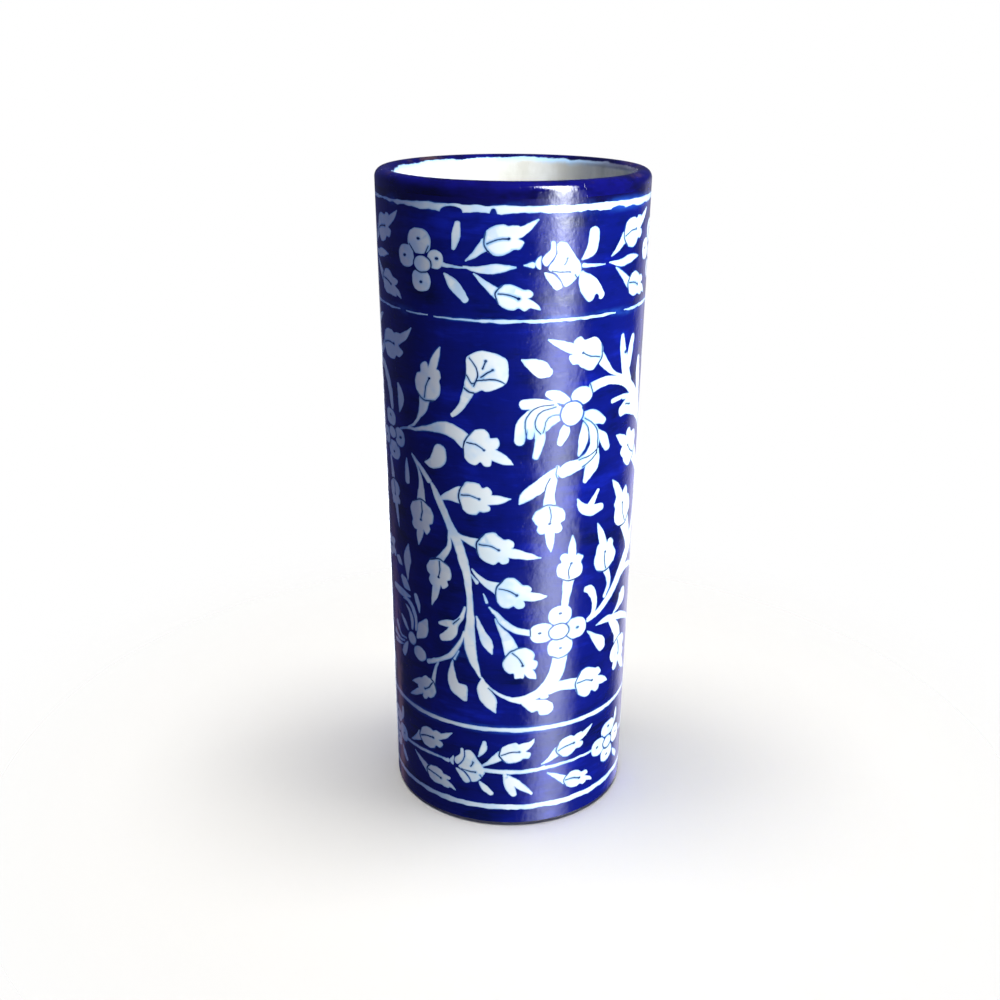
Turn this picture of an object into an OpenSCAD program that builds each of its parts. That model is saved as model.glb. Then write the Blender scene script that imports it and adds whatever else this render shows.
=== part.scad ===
// Tall hand-painted pottery vase: a moulded paste body with a joined base, foot and rolled rim,
// dipped in white slip, painted in bands and glazed inside and out.
// Frame: +Z up, origin at the centre of the footprint, millimetres.

/* [Body] */
// Height from the table to the top of the rim
height = 255; // [250:1:310]
// Outside diameter at the foot
foot_d = 96; // [80:1:110]
// Outside diameter at the rim, a little wider than the foot
rim_d = 102.6; // [96:0.2:126]
// Wall thickness at the floor, with its coats
wall_t = 6; // [4:0.5:9]
// Thickness of the floor above the foot ring, with its coats
floor_t = 6; // [4:0.5:10]
// Radius of the cove between the wall and the floor inside
cove_r = 6; // [3:0.5:12]

/* [Rim] */
// Radius of the rolled lip in section
lip_r = 3.3; // [3:0.1:5]
// Height of the coil that forms the rim
coil_h = 14; // [10:1:30]
// How far the rim's cobalt runs down inside the mouth
rim_spill = 5; // [1:0.5:12]

/* [Foot] */
// Height of the bare foot ring below the body
foot_h = 3; // [2:0.5:5]
// Width of the foot ring
foot_w = 9; // [5:0.5:14]
// Chamfer on both lower edges of the foot ring
foot_bevel = 0.8; // [0.4:0.1:0.9]

/* [Coats] */
// Thickness of the white slip on the paste
slip_t = 0.4; // [0.2:0.1:0.6]
// Thickness of the glaze on the slip
glaze_t = 0.5; // [0.3:0.1:0.8]

/* [Bands] */
// Width of the three broad white lines between the painted bands
line_w = 2.2; // [1:0.1:4]
// Width of the thin white line above the main field
thin_line_w = 1.2; // [0.6:0.1:2]
// Height of the white line under the rim
line_under_rim_z = 246; // [236:0.2:247]
// Height of the thin white line above the main field
line_above_field_z = 207.8; // [160:0.2:230]
// Height of the white line below the main field
line_below_field_z = 44.6; // [30:0.2:100]
// Height of the white line above the foot band
line_above_foot_z = 8.7; // [6:0.1:20]

/* [Hidden] */

round_fn = 180;                         // segments of every round surface
coat_t = slip_t + glaze_t;              // both coats together
foot_r = foot_d / 2;
rim_r = rim_d / 2;
lip_z = height - lip_r;                 // centre of the lip's round section
lip_x = rim_r - lip_r;
neck_z = height - coil_h;               // joint between the wall and the rim coil
floor_z = foot_h + floor_t;             // glazed floor inside
coat_z = foot_h / 2;                    // the coats stop here, above the table
spill_z = lip_z - rim_spill;            // lower edge of the rim's cobalt inside
slab_r = inner_r(floor_z, 0) - cove_r;  // joint between the base slab and the wall
overlap = 1;                            // how far joined outlines run into each other
clear = 1;                              // overshoot of a cutting shape past the section

paste_colour = [0.80, 0.76, 0.68];
slip_colour = [0.93, 0.92, 0.88];
cobalt_colour = [0.06, 0.07, 0.50];
rim_colour = [0.04, 0.04, 0.28];
white_colour = [0.90, 0.91, 0.92];

// Outside radius at height z, taken in by depth d: a straight, slightly flared wall
function outer_r(z, d) = foot_r + (rim_r - foot_r) * z / lip_z - d;

// Inside radius at height z, with depth d measured into the wall
function inner_r(z, d) =
    let (low = outer_r(floor_z, wall_t), high = lip_x - lip_r)
    low + (high - low) * (z - floor_z) / (lip_z - floor_z) + d;

// Half section of the whole vessel, its surface taken in by depth d all over
module section_2d(d) {
    polygon([
        [0, 0],
        [outer_r(0, d), 0],
        [outer_r(lip_z, d), lip_z],
        [inner_r(lip_z, d), lip_z],
        [inner_r(floor_z, d), floor_z - d],
        [0, floor_z - d]
    ]);
    translate([lip_x, lip_z]) half_round_2d(lip_r - d);
    cove_2d(d);
}

module half_round_2d(r) {
    intersection() {
        circle(r = r, $fn = round_fn);
        translate([-r, 0]) square([2 * r, r]);
    }
}

// Fillet in the corner between the floor and the wall, sunk into both
module cove_2d(d) {
    top_z = floor_z + cove_r;
    low_z = floor_z - d - overlap;
    centre_x = inner_r(top_z, d) - cove_r - d;
    difference() {
        polygon([
            [centre_x, low_z],
            [inner_r(floor_z, d) + overlap, low_z],
            [inner_r(top_z, d) + overlap, top_z],
            [centre_x, top_z]
        ]);
        translate([centre_x, top_z]) circle(r = cove_r + d, $fn = round_fn);
    }
}

// The layer of the section between two depths
module layer_2d(from_d, to_d) {
    difference() {
        section_2d(from_d);
        section_2d(to_d);
    }
}

// The part of the plane outside the middle of the wall, between two heights
module outside_2d(from_z, to_z) {
    polygon([
        [outer_r(from_z, wall_t / 2), from_z],
        [rim_r + clear, from_z],
        [rim_r + clear, to_z],
        [outer_r(to_z, wall_t / 2), to_z]
    ]);
}

// A slice of the plane between two heights and two radii
module slice_2d(from_z, to_z, from_r = 0, to_r = rim_r + clear) {
    translate([from_r, from_z]) square([to_r - from_r, to_z - from_z]);
}

module revolve() {
    rotate_extrude($fn = round_fn) children();
}

// A belt of glaze on the outside between two heights
module glaze_belt(from_z, to_z) {
    revolve() intersection() {
        layer_2d(0, glaze_t);
        outside_2d(from_z, to_z);
    }
}

module white_line(z, width) {
    color(white_colour) glaze_belt(z - width / 2, z + width / 2);
}

module painted_band(below_z, below_w, above_z, above_w) {
    color(cobalt_colour) glaze_belt(below_z + below_w / 2, above_z - above_w / 2);
}

module body_wall() {
    color(paste_colour) revolve() intersection() {
        section_2d(coat_t);
        slice_2d(foot_h, neck_z, from_r = slab_r);
    }
}

module base_slab() {
    color(paste_colour) revolve() intersection() {
        section_2d(coat_t);
        slice_2d(foot_h, floor_z, to_r = slab_r);
    }
}

module foot_ring() {
    inside = outer_r(0, coat_t + foot_w);
    color(paste_colour) revolve() polygon([
        [inside, foot_h],
        [inside, foot_bevel],
        [inside + foot_bevel, 0],
        [outer_r(0, coat_t) - foot_bevel, 0],
        [outer_r(foot_bevel, coat_t), foot_bevel],
        [outer_r(foot_h, coat_t), foot_h]
    ]);
}

module rim_coil() {
    color(paste_colour) revolve() intersection() {
        section_2d(coat_t);
        slice_2d(neck_z, height);
    }
}

module slip_coat() {
    color(slip_colour) revolve() intersection() {
        layer_2d(glaze_t, coat_t);
        slice_2d(coat_z, height);
    }
}

module interior_glaze() {
    color(white_colour) revolve() difference() {
        intersection() {
            layer_2d(0, glaze_t);
            slice_2d(foot_h, spill_z);
        }
        outside_2d(0, height);
    }
}

module rim_glaze() {
    color(rim_colour) revolve() intersection() {
        layer_2d(0, glaze_t);
        union() {
            slice_2d(spill_z, height);
            outside_2d(line_under_rim_z + line_w / 2, height);
        }
    }
}

module line_under_rim() {
    white_line(line_under_rim_z, line_w);
}

module upper_border() {
    painted_band(line_above_field_z, thin_line_w, line_under_rim_z, line_w);
}

module line_above_field() {
    white_line(line_above_field_z, thin_line_w);
}

module main_field() {
    painted_band(line_below_field_z, line_w, line_above_field_z, thin_line_w);
}

module line_below_field() {
    white_line(line_below_field_z, line_w);
}

module lower_border() {
    painted_band(line_above_foot_z, line_w, line_below_field_z, line_w);
}

module line_above_foot() {
    white_line(line_above_foot_z, line_w);
}

module foot_band() {
    color(cobalt_colour) glaze_belt(coat_z, line_above_foot_z - line_w / 2);
}

body_wall();
base_slab();
foot_ring();
rim_coil();
slip_coat();
interior_glaze();
rim_glaze();
line_under_rim();
upper_border();
line_above_field();
main_field();
line_below_field();
lower_border();
line_above_foot();
foot_band();
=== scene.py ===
import math

import bpy
import numpy as np
from mathutils import Matrix, Vector, geometry, kdtree, noise


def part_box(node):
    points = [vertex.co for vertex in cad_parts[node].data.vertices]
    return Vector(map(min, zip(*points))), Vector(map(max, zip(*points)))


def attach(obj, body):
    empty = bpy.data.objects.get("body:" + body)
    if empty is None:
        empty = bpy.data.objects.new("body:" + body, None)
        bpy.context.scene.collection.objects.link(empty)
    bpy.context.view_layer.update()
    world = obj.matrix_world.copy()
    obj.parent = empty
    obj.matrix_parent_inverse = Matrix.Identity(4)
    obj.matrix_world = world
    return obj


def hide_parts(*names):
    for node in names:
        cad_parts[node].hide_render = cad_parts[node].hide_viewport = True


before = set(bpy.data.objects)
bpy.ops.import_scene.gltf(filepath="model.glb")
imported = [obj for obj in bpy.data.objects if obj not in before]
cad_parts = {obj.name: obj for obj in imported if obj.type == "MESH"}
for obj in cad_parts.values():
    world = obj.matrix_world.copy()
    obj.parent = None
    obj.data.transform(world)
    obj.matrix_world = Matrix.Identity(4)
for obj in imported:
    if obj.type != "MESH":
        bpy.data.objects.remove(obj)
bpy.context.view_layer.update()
noise.seed_set(1)  # so that the painter's hand shakes alike in every run

# The drawing is flat: u runs round the vase from its front, v up it, both in millimetres.
MM = 0.001
DRAWING_R = 50.0  # radius at which u is true arc length
GIRTH = 2 * math.pi * DRAWING_R
STEP = 0.75  # spacing of the points along a drawn outline
GRID = 3.2  # spacing of the points on plain areas
RING = 0.6  # distance from an outline to the points beside it
INLAY = 0.45  # thickness of every painted area
SIDES = 256  # of the turned lip
WOBBLE = 0.22  # unsteadiness of the painter's hand
SWAY, TREMOR = 0.33, 0.95  # how quickly that unsteadiness changes along a stroke
LIP_ROLL = 3.3  # radius of the rolled lip's section
LINE_REACH = 3.2  # white this near to a line's middle belongs to the line
PLAIN_TOP = 3.5  # height of the plain cobalt above the middle of the highest line
UPPER_STEM, LOWER_STEM = 226.8, 26.2  # heights of the stems along the two borders


def box_mm(node):
    low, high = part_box(node)
    return np.array(low) / MM, np.array(high) / MM


FOOT_LOW, FOOT_HIGH = box_mm("foot_band")
FIELD_LOW, FIELD_HIGH = box_mm("main_field")
UPPER_LOW, UPPER_HIGH = box_mm("upper_border")
LOWER_LOW, LOWER_HIGH = box_mm("lower_border")
RIM_HIGH = box_mm("rim_glaze")[1]
INSIDE_HIGH = box_mm("interior_glaze")[1]
FLARE = (UPPER_HIGH[0] - FOOT_HIGH[0]) / (UPPER_HIGH[2] - FOOT_HIGH[2])

LINE_UNDER_RIM = (UPPER_HIGH[2] + box_mm("line_under_rim")[1][2]) / 2
LINE_ABOVE_FIELD = (FIELD_HIGH[2] + UPPER_LOW[2]) / 2
LINE_BELOW_FIELD = (LOWER_HIGH[2] + FIELD_LOW[2]) / 2
LINE_ABOVE_FOOT = (FOOT_HIGH[2] + LOWER_LOW[2]) / 2
TOP = RIM_HIGH[2]
LIP_CREST = RIM_HIGH[0] - LIP_ROLL
SHEET_LOW = FOOT_LOW[2]
SHEET_HIGH = LINE_UNDER_RIM + PLAIN_TOP


def outer_radius(v):
    return FOOT_HIGH[0] + FLARE * (v - FOOT_HIGH[2])


def on_vase(u, v, depth=0.0):
    """Points of the drawing, wrapped round the vase, in metres."""
    angle, radius = u / DRAWING_R, outer_radius(v) - depth
    return np.stack([radius * np.sin(angle), -radius * np.cos(angle), v], -1) * MM


# ---- drawing tools

def curve(points, closed=False):
    """Smooth curve through the points, whose columns may also hold a width."""
    p = np.array(points, float)
    n = len(p)
    out = []
    for i in range(n if closed else n - 1):
        if closed:
            a, b, c, d = (p[(i + k) % n] for k in (-1, 0, 1, 2))
        else:
            a, b, c, d = p[max(i - 1, 0)], p[i], p[i + 1], p[min(i + 2, n - 1)]
        count = max(2, math.ceil(np.hypot(*(c - b)[:2]) / STEP))
        t = (np.arange(count) / count)[:, None]
        out.append(0.5 * (2 * b + (c - a) * t + (2 * a - 5 * b + 4 * c - d) * t ** 2
                          + (3 * b - a - 3 * c + d) * t ** 3))
    if not closed:
        out.append(p[-1:])
    return np.concatenate(out)


def cap(centre, direction, width):
    """Round end of a stroke, from its left side to its right."""
    side = np.array([-direction[1], direction[0]])
    turns = np.radians([60, 30, 0, -30, -60]) if width > 1.4 else np.radians([35, -35])
    return [centre + (np.cos(t) * direction * 0.8 + np.sin(t) * side) * width / 2 for t in turns]


def stroke_outline(points):
    """Outline of a brush stroke through the points, each (u, v, width)."""
    p = curve(points)
    xy, w = p[:, :2], np.maximum(p[:, 2:], 0.12)
    along = np.gradient(xy, axis=0)
    along /= np.maximum(np.linalg.norm(along, axis=1, keepdims=True), 1e-6)
    across = np.stack([-along[:, 1], along[:, 0]], -1) * w / 2
    end = cap(xy[-1], along[-1], w[-1, 0]) if w[-1, 0] > 0.5 else [xy[-1]]
    start = cap(xy[0], -along[0], w[0, 0]) if w[0, 0] > 0.5 else [xy[0]]
    return np.concatenate([xy + across, end, (xy - across)[::-1], start])


def unsteady(point, pace):
    """How far the hand strays at a point; the third coordinate of the noise is its seed."""
    return np.array(noise.noise_vector(Vector((*(point * pace), 3.7)))[:2])


class Pen:
    """Paints shapes on the drawing, in order. Later shapes cover earlier ones."""
    shapes = []

    def __init__(self, u=0.0, v=0.0, scale=1.0):
        self.origin, self.scale = np.array([u, v]), scale

    def at(self, u, v):
        """Pen for a flower at u from this one's origin and at height v."""
        return Pen(self.origin[0] + u, v)

    def paint(self, kind, outline, tint=0.0):
        points = np.array(outline) * self.scale + self.origin
        shaken = [q + unsteady(q, SWAY) * WOBBLE + unsteady(q, TREMOR) * WOBBLE * 0.6 for q in points]
        for turn in (-GIRTH, 0.0, GIRTH):
            moved = np.array(shaken) + (turn, 0)
            if moved[:, 0].max() > -GIRTH / 2 and moved[:, 0].min() < GIRTH / 2:
                Pen.shapes.append((kind, tint, moved))

    def stroke(self, *points, tint=0.0):
        self.paint("white", stroke_outline(points), tint)

    def blob(self, *points, tint=0.0):
        self.paint("white", curve(points, closed=True), tint)

    def oval(self, centre, ru, rv, kind="white", tint=0.0, square=1.0):
        """Ellipse, or with square below 1 a rounded square."""
        count = max(7, round(2 * math.pi * max(ru, rv) / STEP / 1.2))
        a = np.arange(count) * 2 * math.pi / count
        x, y = (np.sign(w) * abs(w) ** square for w in (np.cos(a), np.sin(a)))
        self.paint(kind, np.stack([centre[0] + ru * x, centre[1] + rv * y], -1), tint)

    def line(self, path, width=0.5, dot=0.0):
        """Thin contour line, with a blot at its end."""
        self.paint("line", stroke_outline([(*q, width) for q in path]))
        if dot:
            self.oval(path[-1], dot, dot * 0.8, "line")

    def bud(self, base, end, width, tip=None, *stalk):
        """Lobed bud with a pointed tongue, a midrib and a parting line, on a flared stalk.

        The base and the points of the stalk also hold the width of the stalk there.
        """
        mouth = base[2:]
        base, end = np.array(base[:2], float), np.array(end, float)
        along = end - base
        across = np.array([-along[1], along[0]]) / np.hypot(*along) * width / 2
        if stalk:
            self.stroke(*stalk, (*(base + along * 0.06), *mouth))
        if tip is not None:
            root = base + along * 0.6
            bend = (root + np.array(tip)) / 2 + along * 0.12
            self.stroke((*root, width * 0.34), (*bend, width * 0.27), (*tip, 0.4))
        side = [(0.02, 0.30), (0.13, 0.74), (0.36, 0.99), (0.58, 0.93), (0.70, 0.74),
                (0.84, 0.83), (0.98, 0.64), (0.99, 0.36), (0.88, 0.16)]
        lumps = [noise.noise(Vector((*(base + self.origin) * 0.7, i * 1.9))) * 0.12 for i in range(18)]
        left = [base + along * (s + lump * 0.5) + across * (t + lump)
                for (s, t), lump in zip(side, lumps)]
        right = [base + along * (s + lump * 0.5) - across * (t + lump)
                 for (s, t), lump in zip(side, lumps[::-1])]
        self.blob(base - along * 0.01, *right, *left[::-1])
        if stalk:
            self.line([base + along * 0.14 + across * 0.8, base, base + along * 0.14 - across * 0.8], 0.6)
        self.line([base + along * 0.06, base + along * 0.38 + across * 0.1, base + along * 0.64], dot=0.62)


def rosette(pen, petals, disc):
    """Four-petalled flower: each petal is (du, dv, ru, rv), and the disc is (ru, rv)."""
    for du, dv, ru, rv in petals:
        pen.oval((du * 0.94, dv * 0.94), ru + 0.4, rv + 0.4, square=0.84)
    for (au, av, *_), (bu, bv, *_) in zip(petals, petals[1:] + petals[:1]):
        pen.line([((au + bu) * 0.3, (av + bv) * 0.3), ((au + bu) * 0.62, (av + bv) * 0.62)])
    pen.oval((0, 0), disc[0] + 0.6, disc[1] + 0.6, "line")
    for du, dv, ru, rv in petals:
        pen.oval((du * 1.04, dv * 1.04), 0.8, 0.5, "line")
    pen.oval((0, 0), *disc)


def lotus(pen):
    """Side view of an open flower, lying along the border with its calyx to the left."""
    pen.stroke((-12.3, 0.4, 0.3), (-9.1, 0.6, 2.2), tint=0.6)
    pen.blob((-8.3, 1.6), (-6.4, 3.7), (-6.3, 1), (-6.4, -1), (-7.8, -0.2), tint=0.5)
    pen.blob((-5.8, 1.5), (-5.6, 3.2), (-3.2, 5.8), (-2.9, 8.2), (-1.4, 8.1), (-1.3, 4.8), (-2.6, 2),
        (-4.4, -0.1))
    pen.blob((-3.8, -1.1), (-2.2, 1.6), (-0.7, 4.4), (-0.6, 7.6), (1.3, 8.3), (3.2, 6.9), (5.6, 3.6),
        (7.6, 1), (8.2, -2), (6.6, -4.6), (4.8, -6.4), (2.4, -7.3), (1.4, -5.6), (-0.8, -2.8))
    pen.blob((-5.3, -2), (-3.2, -2.3), (-1, -3.6), (1.4, -7), (-0.6, -8.2), (-2.2, -7.2), (-4, -4.8))
    pen.line([(1.9, 0.2), (2.7, 1.3), (3, 2.6)], 0.6, 0.5)
    pen.line([(-2.6, -1.7), (0.6, -2.3), (4, -2.3)], 0.5, 0.5)
    pen.line([(6, -3.2), (7, -4.8)])


def leaf_pair(pen, forked):
    """The small leaves on the right of a border flower."""
    pen.stroke((9, -0.4, 1.6), (13.5, -0.8, 1), (18.6, -0.9, 0.4), tint=0.4)
    if forked:
        pen.stroke((8.4, 1.7, 0.7), (12, 4.4, 4.2), (13.1, 8, 4.6), (13.3, 11, 4.2))
        pen.stroke((8.6, -3, 2), (10.2, -7.6, 5), (12.6, -12, 3.4))
        pen.stroke((9, -3.2, 1.6), (13, -7.4, 5.2), (17.4, -11.6, 3.2))
        pen.oval((15.2, -12.2), 1.1, 1.4, "ground")
    else:
        pen.stroke((13, 5.4, 1.4), (14.2, 10, 3.2), (14.6, 14, 2.2))
        pen.stroke((9.6, -3.4, 0.9), (13, -7, 4), (17.2, -12, 2.6))


def border_buds(pen, shift, h=1.0):
    """Two buds, one over the other, on the left of a border flower; h scales their heights."""
    pen.bud((-25.6 + shift, 7.4 * h, 4.4), (-12.6 + shift, 10.6 * h), 10.6 * h, (-7.4 + shift, 16 * h),
        (-32 + shift, 1.6, 0.5), (-28.6 + shift, 4 * h, 2.2))
    pen.bud((-21.6 + shift, -9.2 * h, 3.8), (-9.2 + shift, -12 * h), 9 * h, (-6.2 + shift, -15 * h),
        (-29.4 + shift, -2.6, 0.5), (-25.4 + shift, -5.8 * h, 2.2))


def upper_border(*heads):
    for u, flower, shift in heads:
        at = Pen(u, UPPER_STEM)
        border_buds(at, shift)
        at.stroke((-33 + shift, -0.4, 0.4), (-27 + shift, -1.3, 2.4), (-21 + shift, -0.6, 3.2),
            (-14.6 + shift, -0.3, 0.4))
        if flower == "lotus":
            lotus(at)
        else:
            rosette(Pen(u, UPPER_STEM - 1), [
                (-1.2, 8.2, 5, 4.1), (-8.3, 2, 3.7, 3.6), (-0.6, -6.3, 4, 3.5), (6.3, 2.2, 2.9, 2.9)],
                (3.8, 2.7))
        leaf_pair(at, flower == "lotus")


def lower_border(*heads):
    for u, flower, shift in heads:
        at = Pen(u, LOWER_STEM)
        border_buds(at, shift, 0.86)
        at.stroke((-36 + shift, -0.6, 1.5), (-24 + shift, 0.2, 1.4), (-10, 0.8, 0.9), tint=0.25)
        if flower == "lotus":
            lotus(Pen(u, LOWER_STEM - 0.2, 0.94))
        else:
            rosette(at, [
                (-7.6, 0.6, 4.1, 3.5), (0.3, 6.8, 5.3, 3), (-0.2, -5.6, 4.4, 3.2), (8.2, 0.4, 4, 3.4)],
                (3.4, 2.5))
        small = Pen(u, LOWER_STEM, 0.8)
        small.stroke((6.6, 6.8, 1), (9, 10.8, 3.6), (9.6, 15.2, 2.2))
        small.stroke((7, -8, 1), (9.6, -11, 3.6), (13, -14, 3))


# ---- main field

def high_flower(pen):
    """Flower high on the left and what grows from it."""
    rosette(pen.at(-56.3, 158.5), [
        (-1, 6.2, 4.4, 2.9), (7, -0.3, 3.4, 3.3), (1.3, -7.2, 5, 3.2), (-7, -2.8, 3.3, 3)], (3.6, 2.2))
    pen.bud((-17, 163.2, 5.8), (-5.6, 158.9), 14.2, (1.2, 155.2), (-49, 162, 0.7), (-44, 163.4, 1),
        (-38, 164.2, 1.3), (-32, 166, 2.4), (-25, 167.2, 4.8), (-20, 165.6, 5.4))
    pen.bud((-34, 176.2, 5.2), (-30, 189.6), 12, (-26.3, 197), (-43.5, 163.8, 0.6), (-39.5, 166, 1.2),
        (-36.8, 169.4, 1.8), (-34.8, 173, 4))
    pen.bud((-62, 192.6, 3), (-45.6, 194.6), 11.4, (-39.7, 202), (-76, 185, 1.2), (-68, 187, 2.2))
    pen.stroke((-72, 184.4, 3), (-64, 183.6, 3.4), (-59, 180.2, 3.2), (-55.9, 174.5, 3), (-55, 168.6, 2.4))
    pen.stroke((-49.3, 179, 1.6), (-47.6, 174, 4.4), (-49, 168, 0.4))
    pen.stroke((-34.5, 152.2, 0.5), (-31, 152.6, 4.5), (-28, 155, 6.6), (-27.2, 158.4, 5.4))
    pen.stroke((-45, 151.2, 0.6), (-44.9, 147, 2.6), (-45, 142, 3))
    pen.bud((-37, 136.7, 5), (-37.6, 123.6), 12.4, (-39.3, 117.6), (-41.5, 153.5, 0.7), (-38.4, 149.5, 1),
        (-36.8, 144, 2.2))
    pen.bud((-57, 139.8, 3.2), (-54.8, 129.6), 9.6, (-52.8, 120.6), (-58.8, 148, 2), (-58, 144, 2.6))


def trumpet(pen):
    pen.stroke((-21.8, 172.6, 1.7), (-19, 175, 2.4), (-16.6, 179, 3.4), (-15, 183, 4.4))
    pen.blob((-14.9, 195.4), (-9.5, 197.2), (-2.2, 194.8), (-1, 190), (-2, 185.4), (-8, 182.4),
        (-10.4, 182.8), (-13.6, 181.6), (-16.7, 184.2), (-16, 188.4), (-16.2, 193))
    pen.line([(-14.8, 194.4), (-12.5, 191), (-12, 187.4), (-13.4, 184)])
    pen.line([(-12.2, 186.2), (-9, 186.7), (-5, 186.8), (-1.8, 185.2)])
    pen.line([(-16, 188.2), (-14, 185), (-12.2, 186)])
    pen.line([(-10, 190.6), (-9.1, 193.4)], 0.55, 0.6)
    pen.line([(-10.8, 187.6), (-6.6, 190.4)], 0.55, 0.6)
    pen.line([(-16.9, 183.4), (-15.2, 181.8), (-13.2, 181.5)], 0.6)


def chrysanthemum_right(pen):
    """Drooping flower: long petals fall to both sides of its disc."""
    for points in (
        ((16, 177.6, 1.5), (10, 178, 4), (4.4, 177.8, 3.8)),
        ((20.4, 178.2, 3), (16.5, 180.4, 4.4), (12.8, 181.6, 2)),
        ((26.6, 172, 2.5), (31.5, 171, 5.2), (37, 168.4, 3)),
        ((16.5, 176.6, 2), (9, 175, 3.6), (4.2, 170.4, 4.4), (3.2, 164, 3.8)),
        ((17.5, 175.8, 2), (12, 174.6, 3.4), (8, 171, 3.4), (7, 165.6, 2.4)),
        ((18, 175.2, 2), (13.4, 173.4, 3.2), (10.6, 170, 3.6), (10.6, 164.4, 3.8), (9, 158, 2.4)),
        ((18.5, 172.9, 2.2), (14.6, 171, 3), (12.5, 168, 1.4)),
        ((20.6, 169.6, 2), (19.8, 166.6, 4.2), (18.2, 162.6, 2.6)),
        ((27.8, 169.6, 1), (28.2, 163.8, 4.8), (26.2, 157, 1.6)),
        ((28.5, 170.4, 1.2), (32.4, 165.4, 4), (33, 160, 4.4), (29.6, 156.2, 2.6), (26, 155.4, 0.6)),
        ((34.4, 165.4, 0.7), (37.6, 161.4, 4), (39.6, 157.4, 3.2)),
        ((34.8, 158, 0.8), (32.6, 152.6, 6), (29, 146.4, 2.2)),
        ((34, 157, 0.8), (28.4, 153.8, 3.4), (22.5, 152.5, 5.4), (19.4, 151.2, 4.6)),
    ):
        pen.stroke(*points)
    pen.oval((26.6, 179.6), 4.4, 3.4)
    for path in (
        [(15.5, 177.2), (9.5, 176.8), (6.2, 174), (5, 170.5), (5.6, 165.2)],
        [(16.4, 176.4), (11, 175), (8.7, 172), (8.9, 169), (11, 166.6)],
        [(18.3, 173.4), (15, 173.2), (12.8, 171.5), (11.6, 166.8)],
        [(26.8, 170.4), (29.5, 167.5), (30.2, 163), (28.8, 159), (26, 155.8)],
        [(28, 171), (31, 169), (33.8, 165.6), (34.6, 160), (33.8, 156.4)],
        [(34.4, 158), (31, 156), (26, 155)],
        [(34.2, 156.6), (31.5, 154), (27.6, 152)],
    ):
        pen.line(path, 0.45)
    pen.oval((22.7, 173.3), 5.1, 5, "ground")
    pen.oval((22.7, 173.3), 4.4, 4.4)
    pen.oval((27.5, 175), 1.1, 1, "ground")
    pen.stroke((18, 152.6, 1.5), (16, 151.4, 3.4), (11, 146.8, 5), (5.6, 142.8, 4.4), (3.4, 140, 0.8))
    pen.bud((14.6, 139, 4.8), (15, 127.4), 12.6, (15.6, 120), (17.4, 153.6, 1.4), (16, 148, 3),
        (14.6, 143, 4.2))
    pen.line([(14.6, 149.6), (13.1, 146), (12.2, 141.8)], 0.45)
    pen.line([(17.2, 154), (17, 150.4), (18, 148)], 0.45)


def chrysanthemum_left(pen):
    """The same flower turned over, with its petals rising."""
    for points in (
        ((-41.8, 76.8, 1), (-38.4, 81.4, 6.2), (-35.7, 86.6, 1.4)),
        ((-42.6, 80, 1.2), (-42.2, 84.4, 2), (-44.2, 89, 2.4), (-47.6, 91.2, 2), (-51.4, 90.8, 0.6)),
        ((-45, 79.6, 1.4), (-45, 83.6, 2.2), (-46.8, 87, 1.8), (-49.4, 88.6, 0.6)),
        ((-39.9, 88.4, 0.6), (-40.6, 92, 2.6), (-42, 95.4, 2)),
        ((-45.6, 93.4, 0.6), (-52, 93, 3.6), (-60, 93.2, 2.4)),
        ((-46, 96, 0.8), (-49, 97.8, 4.6), (-51.8, 99.8, 2.6)),
        ((-48.2, 78, 1.2), (-50.6, 80.2, 2.6), (-53.4, 82.6, 1.2)),
        ((-48.8, 72.2, 0.8), (-50.8, 69, 3.2), (-52.6, 65.8, 3)),
        ((-50, 73.4, 0.9), (-55, 73.2, 1.2), (-59, 77, 3)),
        ((-51.6, 71.6, 0.9), (-57, 70.8, 1.4), (-62, 72, 3)),
        ((-53, 69.6, 0.8), (-58, 68.6, 1.6), (-62, 68, 2)),
    ):
        pen.stroke(*points)
    pen.oval((-40.4, 70.3), 3.9, 3.2)
    pen.oval((-45.4, 75.2), 3.5, 3.5, "ground")
    pen.oval((-45.4, 75.2), 2.8, 2.8)
    pen.stroke((-46, 115.6, 0.7), (-47, 109.5, 5.2), (-47.2, 104.5, 3), (-47, 99.8, 0.5))
    pen.stroke((-56.6, 107, 0.5), (-54, 106.4, 3.8), (-51.4, 104.8, 0.8))
    pen.bud((-69, 108), (-57.6, 110.6), 9)


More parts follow.
